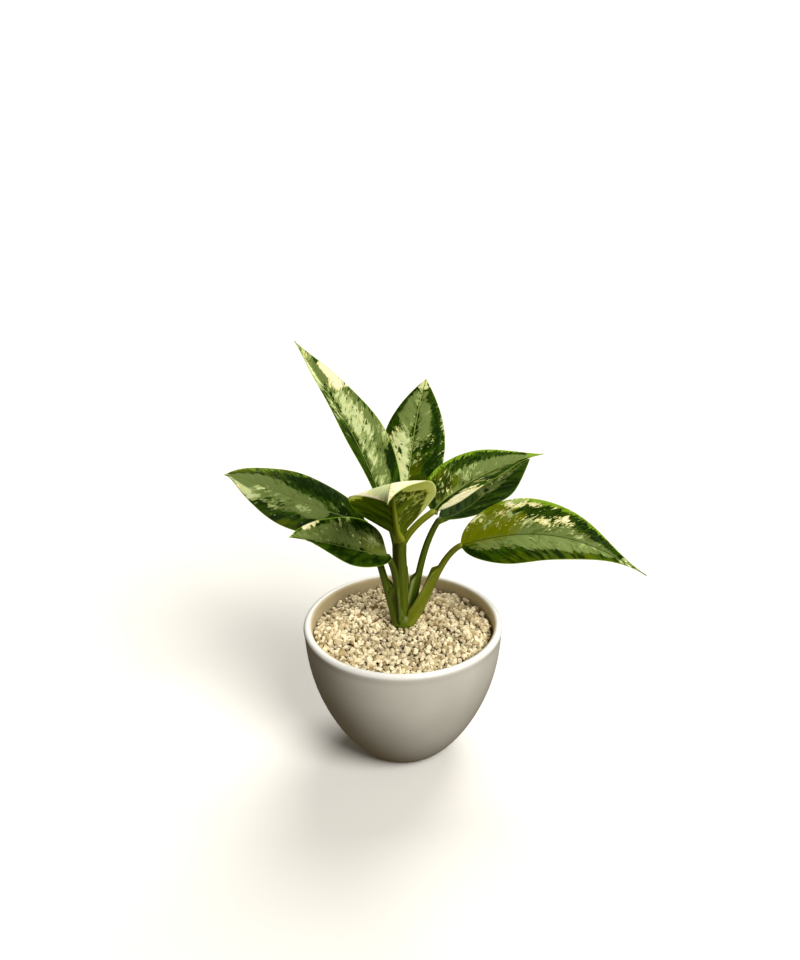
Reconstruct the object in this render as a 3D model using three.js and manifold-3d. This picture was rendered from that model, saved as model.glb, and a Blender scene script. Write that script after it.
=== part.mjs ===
// A young Chinese evergreen with eight cream-flecked leaves, in a round-bottomed ceramic pot
// filled with potting mix and dressed with pale stone chips.
// Millimetres, +Z up, +Y away from the viewer. The origin is the middle of the pot's flat foot.
import * as THREE from "three";
import { mergeVertices } from "three/addons/utils/BufferGeometryUtils.js";
import Module from "manifold-3d";

const wasm = await Module();
wasm.setup();

// Driving dimensions
const RIM_RADIUS = 75; // outside of the pot at its rim
const POT_HEIGHT = 108;
const FOOT_RADIUS = 31; // flat that the pot stands on
const BELLY = 2; // how soon the side swells out above the foot
const SHOULDER = 1.24; // how upright the side is near the rim
const WALL = 6.2;
const FLOOR = 7;
const DRAIN_RADIUS = 4.5;
const DRAIN_CIRCLE = 15; // the drain holes stand on a circle round the middle
const DRAIN_COUNT = 4;
const POT_SIDES = 40;
const FILL_SIDES = 20;
const MOUND_STEPS = 6;
const DRAIN_SIDES = 12;

const CROWN = { x: 1, y: 6.5 }; // where the plant comes out of the stones
const CANE_RADIUS = 8.8;
const CANE_FOOT = 70; // height of the buried end of the cane
const CANE_TOP = 105;
const CANE_TIP = 7; // length of the cone at its top
const CANE_SIDES = 16;
const MOUTH_DEPTH = 6; // depth under the chips' surface from which the cane's hole widens
const MOUTH_SLOPE = 0.5; // by how much, for each millimetre of height

const STONES_AT_WALL = 99.5; // height of the chips where they meet the wall
const STONES_AT_CROWN = 103.5;
const STONES_DEPTH = 10;
const CHIP_SPACING = 10.6;
const CHIP_SIZE = 10;
const CHIP_RISE = 2; // how far the chips stand out of the layer that they are bedded in
const CHIP_JITTER = 0.9;
const CHIP_SEED = 11;
const HEADROOM = 20; // clear height above the rim, for the solids that cut through the chips

const FIT = 0.3; // air between neighbouring pieces
const WALL_FIT = 0.6; // air between the pot's wall and what fills it
const BLADE = 0.8; // thickness of a leaf blade
const KEEL = 1.7; // how far the midrib stands out below it at the leaf's base
const BLADE_ROWS = 15;
const BLADE_COLUMNS = [-1, -0.72, -0.42, -0.14, 0, 0.14, 0.42, 0.72, 1];
const BLADE_BASE = 2.2; // half width of a blade where it leaves its stalk
const BLADE_TIP = 0.5; // half width at its very tip
const RIPPLE = 0.7; // height of the slow wave along the margins
const RIPPLES = 2.3; // waves from base to tip
const SHEATH = 4.2; // height of the wings of a leaf stalk's sheath
const SHEATH_SLOPE = 0.06; // share of the stalk over which they end
const GROOVE = 0.72; // share of the radius that is left on the stalk's hollowed side
const STALK_SIDES = 8;
const STALK_ROWS = 11;

// Each leaf: its midrib as a Bezier curve, the way its upper face looks (compass angle from +X and
// height above the horizon, degrees), its full width, how far each half folds up from the midrib
// and bends back down, the turn from base to tip, and three numbers for the outline: fullness of
// the base, and place and slenderness of the taper. Then its leaf stalk, also a Bezier curve, with
// its radius at both ends and the share of it that has a sheath. Wrap is the turn of the sheath at
// the stalk's foot, in degrees, where it closes round the crown instead of facing as the blade does.
const LEAVES = {
  leaf_upper_left: {
    midrib: [[-10, 6, 189], [-23, 24, 233], [-50, 41, 272], [-77, 61, 309]],
    face: [-43, 43], width: 48, foldLeft: 44, foldRight: 33, camber: 16, twist: -11,
    outline: [0.53, 1.6, 1.3],
    stalk: [[-3, 9, 102], [-1, 10, 129], [-2, 5, 172]], radius: [3.2, 2.4], sheath: 0.5,
  },
  leaf_upper_middle: {
    midrib: [[2, 12, 190], [6, 36, 217], [10, 63, 247], [20, 89, 269]],
    face: [-103, 43], width: 50, foldLeft: 5, foldRight: 7, camber: 24, twist: 0,
    outline: [0.56, 1.7, 1.0],
    stalk: [[0, 10, 102], [0, 11, 129], [0, 8, 164]], radius: [3.2, 2.4], sheath: 0.5,
  },
  leaf_right_upper: {
    midrib: [[23, 4, 197], [30, 14, 205], [69, 35, 221], [107, 48, 223]],
    face: [-77, 69], width: 48, foldLeft: 24, foldRight: 47, camber: 17, twist: -6,
    outline: [0.65, 2.1, 1.5],
    stalk: [[1, 8, 102], [-2, 8, 135], [-16, 5, 168]], radius: [3.2, 2.4], sheath: 0.5,
  },
  leaf_right_behind: {
    midrib: [[28, 20, 183], [54, 37, 179], [68, 62, 191], [101, 78, 206]],
    face: [-137, 52], width: 46, foldLeft: 18, foldRight: 17, camber: 12, twist: 10,
    outline: [0.67, 2.1, 1.0],
    stalk: [[5, 9, 102], [10.5, 9.5, 129], [13, 13, 163]], radius: [3.4, 2.2], sheath: 0.4, wrap: -45,
  },
  leaf_right_low: {
    midrib: [[43, -5, 174], [98, -8, 192], [125, -30, 195], [174, -28, 160]],
    face: [-91, 60], width: 56, foldLeft: 23, foldRight: 19, camber: 17, twist: 1,
    outline: [0.5, 1.6, 1.8],
    stalk: [[4, 2, 103], [19, 3, 119], [25, 3, 160]], radius: [3.6, 2.1], sheath: 0.6, wrap: -85,
  },
  leaf_left_upper: {
    midrib: [[-27, -4, 193], [-70, -9, 208], [-111, 3, 227], [-124, -10, 234]],
    face: [-108, 63], width: 48, foldLeft: 9, foldRight: 8, camber: 24, twist: 8,
    outline: [0.45, 1.8, 1.3],
    stalk: [[-4.2, 2.6, 102.4], [-10, 4, 128], [-19, 1, 172]], radius: [3.6, 2.2], sheath: 0.36, wrap: 105,
  },
  leaf_left_low: {
    midrib: [[-11, -13, 170], [-28, -29, 181], [-61, -32, 195], [-76, -54, 207]],
    face: [-126, 45], width: 44, foldLeft: 33, foldRight: 39, camber: -1, twist: -3,
    outline: [0.52, 1.9, 1.2],
    stalk: [[-3, 4, 102], [-2, 2, 129], [-5, -5, 158]], radius: [3.2, 2.2], sheath: 0.4,
  },
  leaf_front: {
    midrib: [[-2, -13, 185], [-7, -57, 216], [-5, -60, 274], [-9, -110, 257]],
    face: [99, 24], width: 60, foldLeft: 42, foldRight: 54, camber: 21, twist: -2,
    foldAtTip: -0.32, outline: [0.5, 1.6, 1.0],
    stalk: [[1, 7, 102], [-1, 3, 129], [-1, -3, 160]], radius: [4.8, 2.6], sheath: 0.85,
  },
};

const CERAMIC = new THREE.MeshStandardMaterial({ color: "#d9d5cc", roughness: 0.32, metalness: 0 });
const MIX = new THREE.MeshStandardMaterial({ color: "#3d2f24", roughness: 0.95, metalness: 0 });
const CHIPS = new THREE.MeshStandardMaterial({ color: "#e0d2b0", roughness: 0.9, metalness: 0 });
const STALK_GREEN = new THREE.MeshStandardMaterial({ color: "#5f6f16", roughness: 0.5, metalness: 0 });
const LEAF_GREEN = new THREE.MeshStandardMaterial({ color: "#4d6d2a", roughness: 0.42, metalness: 0 });

const radians = THREE.MathUtils.degToRad;
const vector = (point) => new THREE.Vector3(...point);

// A seeded draw, the same on every run
function seededDraw(seed) {
  let state = seed;
  return (low, high) => {
    state = (state * 16807) % 2147483647;
    return low + (high - low) * (state / 2147483647);
  };
}

// A closed geometry as a solid that can be joined and cut
function toSolid(geometry) {
  const bare = geometry.clone();
  bare.deleteAttribute("normal");
  bare.deleteAttribute("uv");
  const merged = mergeVertices(bare.index ? bare.toNonIndexed() : bare, 1e-4);
  const vertProperties = new Float32Array(merged.attributes.position.array);
  return new wasm.Manifold(new wasm.Mesh({
    numProp: 3, vertProperties, triVerts: new Uint32Array(merged.index.array),
  }));
}

// The one body that counts in a joined solid: pockets sealed inside it are filled, crumbs dropped
function largestBody(solid) {
  return solid.decompose().reduce((most, body) => (body.volume() > most.volume() ? body : most));
}

function toGeometry(solid) {
  const mesh = solid.getMesh();
  const geometry = new THREE.BufferGeometry();
  geometry.setAttribute("position", new THREE.BufferAttribute(mesh.vertProperties, 3));
  geometry.setIndex(new THREE.BufferAttribute(mesh.triVerts, 1));
  geometry.computeVertexNormals();
  return geometry;
}

function pointsToGeometry(points, faces) {
  const geometry = new THREE.BufferGeometry();
  const numbers = points.flatMap((point) => point.toArray());
  geometry.setAttribute("position", new THREE.Float32BufferAttribute(numbers, 3));
  geometry.setIndex(faces.flat());
  geometry.computeVertexNormals();
  return geometry;
}

// Turns a profile of [radius, height] points round the Z axis
function turned(profile, sides) {
  const outline = profile.map(([radius, height]) => new THREE.Vector2(radius, height));
  return new THREE.LatheGeometry(outline, sides).rotateX(Math.PI / 2);
}

function upright(radius, bottom, top, x, y, sides) {
  const cylinder = new THREE.CylinderGeometry(radius, radius, top - bottom, sides).rotateX(Math.PI / 2);
  return cylinder.translate(x, y, (top + bottom) / 2);
}

// Outside radius of the pot at a height: a bowl that rises ever more steeply to its rim
function potRadius(height) {
  const share = height / POT_HEIGHT;
  return FOOT_RADIUS + (RIM_RADIUS - FOOT_RADIUS) * (1 - (1 - share) ** BELLY) ** (1 / SHOULDER);
}

// Radius of the surface that lies at a depth inside the pot's outer face
function radiusWithin(depth, height) {
  const slope = potRadius(height + 0.5) - potRadius(height - 0.5);
  return potRadius(height) - depth * Math.hypot(1, slope);
}

function sideWithin(depth, bottom, top, steps) {
  const side = [];
  for (let i = 0; i <= steps; i++) {
    const height = bottom + ((top - bottom) * i) / steps;
    side.push([radiusWithin(depth, height), height]);
  }
  return side;
}

function potSolid() {
  const lip = WALL / 2;
  const shoulder = POT_HEIGHT - lip;
  const outside = sideWithin(0, 2, shoulder, 10);
  const inside = sideWithin(WALL, FLOOR, shoulder, 8).reverse();
  const middle = (outside.at(-1)[0] + inside[0][0]) / 2;
  const lipRound = [45, 90, 135].map((angle) => [
    middle + lip * Math.cos(radians(angle)),
    shoulder + lip * Math.sin(radians(angle)),
  ]);
  const profile = [[0, 0], [FOOT_RADIUS, 0], ...outside, ...lipRound, ...inside, [0, FLOOR]];
  let pot = toSolid(turned(profile, POT_SIDES));
  for (let i = 0; i < DRAIN_COUNT; i++) {
    const angle = radians(45 + (360 * i) / DRAIN_COUNT);
    const x = DRAIN_CIRCLE * Math.cos(angle);
    const y = DRAIN_CIRCLE * Math.sin(angle);
    pot = pot.subtract(toSolid(upright(DRAIN_RADIUS, -FLOOR, 2 * FLOOR, x, y, DRAIN_SIDES)));
  }
  return pot;
}

// Height of the chips' surface: highest round the plant, lower at the wall
function stonesHeight(radius) {
  const share = radius / (RIM_RADIUS - WALL);
  return STONES_AT_CROWN - (STONES_AT_CROWN - STONES_AT_WALL) * share ** 2;
}

// Points from the middle outwards, at a depth under the mound of the chips
function moundLine(depth) {
  const line = [];
  for (let i = 0; i < MOUND_STEPS; i++) {
    const radius = ((RIM_RADIUS - WALL) * i) / MOUND_STEPS;
    line.push([radius, stonesHeight(radius) - depth]);
  }
  return line;
}

// The hole that the cane stands in, cut through the chips and into the mix. Its mouth widens,
// because the stalks spread there.
function caneHole() {
  const radius = CANE_RADIUS + FIT;
  const [bottom, mouth, top] = [CANE_FOOT - FIT, STONES_AT_CROWN - MOUTH_DEPTH, POT_HEIGHT + HEADROOM];
  const profile = [
    [0, bottom], [radius, bottom], [radius, mouth], [radius + MOUTH_SLOPE * (top - mouth), top], [0, top],
  ];
  return toSolid(turned(profile, CANE_SIDES).translate(CROWN.x, CROWN.y, 0));
}

function mixSolid() {
  const depth = STONES_DEPTH + FIT;
  const side = sideWithin(WALL + WALL_FIT, FLOOR + FIT, STONES_AT_WALL - depth, 9);
  const profile = [[0, FLOOR + FIT], ...side, ...moundLine(depth).reverse()];
  return toSolid(turned(profile, FILL_SIDES)).subtract(caneHole());
}

// The plain layer that the chips stand in
function bedSolid() {
  const side = sideWithin(WALL + WALL_FIT, STONES_AT_WALL - STONES_DEPTH, STONES_AT_WALL - CHIP_RISE, 2);
  const profile = [...moundLine(STONES_DEPTH), ...side, ...moundLine(CHIP_RISE).reverse()];
  return toSolid(turned(profile, FILL_SIDES));
}

// The room that the chips may fill, clear of the pot's wall
function roomSolid() {
  const side = sideWithin(WALL + WALL_FIT, POT_HEIGHT / 2, POT_HEIGHT - 1, 8);
  const profile = [[0, POT_HEIGHT / 2], ...side, [0, POT_HEIGHT + HEADROOM]];
  return toSolid(turned(profile, FILL_SIDES));
}

// One stone chip: a box with its corners pulled about, turned at random
function chipSolid(x, y, z, draw) {
  const box = new THREE.BoxGeometry(CHIP_SIZE, CHIP_SIZE * draw(0.7, 0.95), CHIP_SIZE * draw(0.6, 0.85));
  box.deleteAttribute("normal");
  box.deleteAttribute("uv");
  const chip = mergeVertices(box);
  const corners = chip.attributes.position;
  for (let i = 0; i < corners.count; i++) {
    const pull = draw(0.62, 1);
    corners.setXYZ(i, corners.getX(i) * pull, corners.getY(i) * pull, corners.getZ(i) * pull);
  }
  const turn = new THREE.Euler(draw(-0.5, 0.5), draw(-0.5, 0.5), draw(0, 2 * Math.PI));
  chip.applyMatrix4(new THREE.Matrix4().makeRotationFromEuler(turn).setPosition(x, y, z));
  return toSolid(chip);
}

// Chips stand in jittered rows over their bed, out to the pot's wall
function stonesSolid() {
  const draw = seededDraw(CHIP_SEED);
  const reach = RIM_RADIUS - WALL - 0.5 * CHIP_SIZE;
  const rowStep = CHIP_SPACING * Math.sqrt(0.75);
  const rows = Math.floor(reach / rowStep);
  let stones = bedSolid();
  for (let row = -rows; row <= rows; row++) {
    for (let column = -rows; column <= rows; column++) {
      const x = (column + (row % 2 ? 0.5 : 0)) * CHIP_SPACING;
      const y = row * rowStep;
      if (Math.hypot(x, y) > reach) continue;
      const z = stonesHeight(Math.hypot(x, y)) - CHIP_RISE;
      const [dx, dy, dz] = [0, 1, 2].map(() => draw(-CHIP_JITTER, CHIP_JITTER));
      stones = stones.add(chipSolid(x + dx, y + dy, z + dz, draw));
    }
  }
  return largestBody(stones.intersect(roomSolid()).subtract(caneHole()));
}

// Half width of a blade at a share of its length, 1 at its widest
function outline([base, place, taper], t) {
  const widest = base / (base + taper * place);
  const peak = widest ** (base / place) * (1 - widest) ** taper;
  return (t ** base * (1 - t ** place) ** taper) / peak;
}

// Frame of a curve at a share of its length: its point, the way it runs, the way the leaf's upper
// face looks there, and the direction to the leaf's right
function frameAt(curve, face, t, turn = 0) {
  const along = curve.getTangent(t);
  const square = face.clone().addScaledVector(along, -face.dot(along)).normalize();
  const up = square.applyAxisAngle(along, turn);
  const right = new THREE.Vector3().crossVectors(along, up);
  return { point: curve.getPoint(t), along, up, right };
}

function faceOf(leaf) {
  const [compass, rise] = leaf.face.map(radians);
  return new THREE.Vector3(
    Math.cos(rise) * Math.cos(compass), Math.cos(rise) * Math.sin(compass), Math.sin(rise),
  );
}

// A blade: across it, each half is an arc that leaves the midrib at the fold and bends by the
// camber. Its under face has a keel along the midrib that dies away towards the tip.
function bladeSolid(leaf) {
  const curve = new THREE.CubicBezierCurve3(...leaf.midrib.map(vector));
  const face = faceOf(leaf);
  const camber = radians(leaf.camber);
  const foldAtTip = leaf.foldAtTip ?? 1;
  const top = [];
  const under = [];
  for (let i = 0; i < BLADE_ROWS; i++) {
    const share = i / (BLADE_ROWS - 1);
    const t = 0.5 * share + 0.25 * (1 - Math.cos(Math.PI * share));
    const frame = frameAt(curve, face, t, radians(leaf.twist) * (t - 0.5));
    const least = t < 0.5 ? BLADE_BASE : BLADE_TIP;
    const halfWidth = Math.max((leaf.width / 2) * outline(leaf.outline, t), least);
    for (const v of BLADE_COLUMNS) {
      const side = v < 0 ? -1 : 1;
      const fold = radians(v < 0 ? leaf.foldLeft : leaf.foldRight) * (1 + (foldAtTip - 1) * t);
      const bent = fold - camber * Math.abs(v);
      const across = (halfWidth * side * (Math.sin(fold) - Math.sin(bent))) / camber;
      const lift = (halfWidth * (Math.cos(bent) - Math.cos(fold))) / camber;
      const phase = 2 * Math.PI * (RIPPLES * t + 0.25 * side);
      const wave = RIPPLE * v * v * Math.sin(phase) * Math.sin(Math.PI * t);
      const middle = frame.point.clone().addScaledVector(frame.right, across)
        .addScaledVector(frame.up, lift + wave);
      const normal = frame.up.clone();
      if (v !== 0) {
        normal.multiplyScalar(Math.cos(bent)).addScaledVector(frame.right, -side * Math.sin(bent));
      }
      const keel = v === 0 ? KEEL * (1 - 0.9 * t) : 0;
      top.push(middle.clone().addScaledVector(normal, BLADE / 2));
      under.push(middle.clone().addScaledVector(normal, -BLADE / 2 - keel));
    }
  }
  return plateSolid(top, under, BLADE_COLUMNS.length);
}

// Closes two grids of points, one above the other, into a plate. Both faces share their diagonals.
function plateSolid(top, under, columns) {
  const rows = top.length / columns;
  const low = top.length;
  const faces = [];
  const wall = (a, b) => faces.push([a, b, b + low], [a, b + low, a + low]);
  for (let i = 0; i < rows - 1; i++) {
    for (let j = 0; j < columns - 1; j++) {
      const a = i * columns + j;
      const [b, c, d] = [a + 1, a + columns + 1, a + columns];
      faces.push([a, b, c], [a, c, d], [a + low, c + low, b + low], [a + low, d + low, c + low]);
    }
    wall(i * columns, (i + 1) * columns);
    wall((i + 2) * columns - 1, (i + 1) * columns - 1);
  }
  for (let j = 0; j < columns - 1; j++) {
    wall(j + 1, j);
    wall(low - columns + j, low - columns + j + 1);
  }
  return toSolid(pointsToGeometry([...top, ...under], faces));
}

// A leaf stalk: a tapering round rod, hollowed on its upper side, with the two thin wings of its
// sheath standing up along its lower part
function stalkSolid(leaf) {
  const blade = new THREE.CubicBezierCurve3(...leaf.midrib.map(vector));
  const face = faceOf(leaf);
  const joint = frameAt(blade, face, 0);
  joint.point.addScaledVector(joint.along, -FIT);
  const curve = new THREE.CubicBezierCurve3(...leaf.stalk.map(vector), joint.point);
  const [thick, thin] = leaf.radius;
  const rings = [];
  for (let i = 0; i < STALK_ROWS; i++) {
    const t = i / (STALK_ROWS - 1);
    const turn = radians(leaf.wrap ?? 0) * (1 - t * t);
    const { point, up, right } = t < 1 ? frameAt(curve, face, t, turn) : joint;
    const radius = thick + (thin - thick) * t;
    for (let k = 0; k < STALK_SIDES; k++) {
      const angle = (2 * Math.PI * k) / STALK_SIDES;
      const wing = k === 1 || k === STALK_SIDES - 1 ? SHEATH * sheathAt(t, leaf.sheath) : 0;
      const reach = radius * (k === 0 ? GROOVE : 1) + wing;
      rings.push(point.clone().addScaledVector(up, reach * Math.cos(angle))
        .addScaledVector(right, reach * Math.sin(angle)));
    }
  }
  return ringsSolid(rings, STALK_SIDES);
}

// The sheath's wings grow from nothing at the crown, and end in a short slope at their top
function sheathAt(t, top) {
  return t < top ? Math.min(1, (4 * t) / top) : Math.max(0, 1 - (t - top) / SHEATH_SLOPE);
}

// Closes rows of rings into a rod with flat ends
function ringsSolid(rings, sides) {
  const rows = rings.length / sides;
  const last = rings.length - sides;
  const faces = [];
  for (let i = 0; i < rows - 1; i++) {
    for (let k = 0; k < sides; k++) {
      const next = (k + 1) % sides;
      const [a, b] = [i * sides + k, i * sides + next];
      faces.push([a, b, b + sides], [a, b + sides, a + sides]);
    }
  }
  for (let k = 1; k < sides - 1; k++) {
    faces.push([0, k + 1, k], [last, last + k, last + k + 1]);
  }
  return toSolid(pointsToGeometry(rings, faces));
}

// The cane with every leaf stalk grown onto it
function stemSolid() {
  const tip = new THREE.CylinderGeometry(CANE_RADIUS * 0.6, CANE_RADIUS, CANE_TIP, CANE_SIDES);
  tip.rotateX(Math.PI / 2).translate(CROWN.x, CROWN.y, CANE_TOP + CANE_TIP / 2);
  const cane = toSolid(upright(CANE_RADIUS, CANE_FOOT, CANE_TOP, CROWN.x, CROWN.y, CANE_SIDES));
  let stem = cane.add(toSolid(tip));
  for (const leaf of Object.values(LEAVES)) {
    stem = stem.add(stalkSolid(leaf));
  }
  return largestBody(stem);
}

const plant = new THREE.Group();

function place(name, solid, material) {
  const mesh = new THREE.Mesh(toGeometry(solid), material);
  mesh.name = name;
  plant.add(mesh);
}

place("pot", potSolid(), CERAMIC);
place("potting_mix", mixSolid(), MIX);
place("stone_chips", stonesSolid(), CHIPS);
place("stem", stemSolid(), STALK_GREEN);
for (const [name, leaf] of Object.entries(LEAVES)) {
  place(name, bladeSolid(leaf), LEAF_GREEN);
}

export default plant;
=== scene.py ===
"""A young variegated Chinese evergreen in a glazed pot, dressed with pale stone chips.

Shapes are worked out in millimetres, +Z up, +Y away from the viewer, and become metres when a
mesh is made. Pot, cane, stalks and blades are surfaces computed with numpy, each on a grid of two
parameters or as a profile carried round. The chips are one small lump, repeated with random sizes.
"""
import math

import bpy
import numpy as np
from mathutils import Matrix, Vector


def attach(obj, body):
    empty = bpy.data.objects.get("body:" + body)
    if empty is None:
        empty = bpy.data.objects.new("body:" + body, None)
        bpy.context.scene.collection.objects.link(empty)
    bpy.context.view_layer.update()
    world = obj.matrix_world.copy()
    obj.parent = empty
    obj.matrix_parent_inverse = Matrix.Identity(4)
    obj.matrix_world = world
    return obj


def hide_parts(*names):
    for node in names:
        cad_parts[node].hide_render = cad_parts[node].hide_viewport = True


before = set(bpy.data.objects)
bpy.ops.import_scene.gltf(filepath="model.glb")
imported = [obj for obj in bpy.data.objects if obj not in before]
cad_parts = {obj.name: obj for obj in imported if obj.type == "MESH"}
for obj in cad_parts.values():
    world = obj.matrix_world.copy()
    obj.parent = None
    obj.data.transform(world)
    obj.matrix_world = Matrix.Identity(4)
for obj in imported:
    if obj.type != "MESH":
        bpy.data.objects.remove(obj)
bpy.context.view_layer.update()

MM = 0.001
RANDOM = np.random.default_rng(7)

# The pot: outside of the rim, height, foot, and how its side swells and turns upright
RIM_RADIUS = 75
POT_HEIGHT = 108
FOOT_RADIUS = 31
BELLY = 2
SHOULDER = 1.24
WALL = 6.2
FLOOR = 7
DRAIN_RADIUS = 4.5
DRAIN_CIRCLE = 15
DRAIN_COUNT = 4
LIP_BEAD = 0.5  # how far the rim's outer edge swells out over the side below it
POT_SIDES = 176

# The cane, the stone chips round it and their typical size
CROWN = (1, 6.5)
CANE_RADIUS = 8.8
CANE_FOOT = 70
STONES_AT_WALL = 99.5
STONES_AT_CROWN = 103.5
CHIP = 4.9
CHIP_STEP = 3.7  # distance between neighbours in a layer
CHIP_JITTER = 0.36  # how far a chip strays from its place, as a share of that distance
CHIP_LAYERS = 3
CHIP_LAYER_DROP = 1.8
CHIP_HEIGHTS = (-1.35, 1.25)  # how far a chip lies below or above its layer
CHIP_SIZES = (0.62, 1.12)  # range of a chip's size, as a share of the typical one
CHIP_SHAPES = (0.4, 1.12)  # range of its extent along each of its own axes, as a share of its size
CHIP_PULLS = (0.68, 1.2)  # range of how far each corner is pulled in or out

# Leaf blades
BLADE = 0.56  # thickness of a blade away from its midrib
KEEL = 1.7
BLADE_BASE = 2.2  # least half width at the base, and at the tip
BLADE_TIP = 0.35
RIPPLE = 0.7  # height of the waves in a margin, and how many there are
RIPPLES = 2.3
VEIN_STEP = 8.5  # distance between side veins along the midrib
VEIN_SLANT = 0.8  # how far a side vein runs forward for each millimetre outward
VEIN_BOW = 0.008
VEIN_DEPTH = 0.28
FURROW = 0.35  # depth of the furrow over the midrib at its base
BLADE_ROWS = 125
BLADE_COLUMNS = 67

# Leaf stalks
SHEATH = 4.2
SHEATH_SLOPE = 0.06
WING_WIDTH = 0.26  # of a wing of the sheath, in radians round the stalk
GROOVE = 0.28  # of the stalk's radius, along its upper side
GROOVE_WIDTH = 0.45
STALK_LENGTH = 90  # about how long a stalk is, for the grain of its rind
STALK_ROWS = 64
STALK_SIDES = 40

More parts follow.
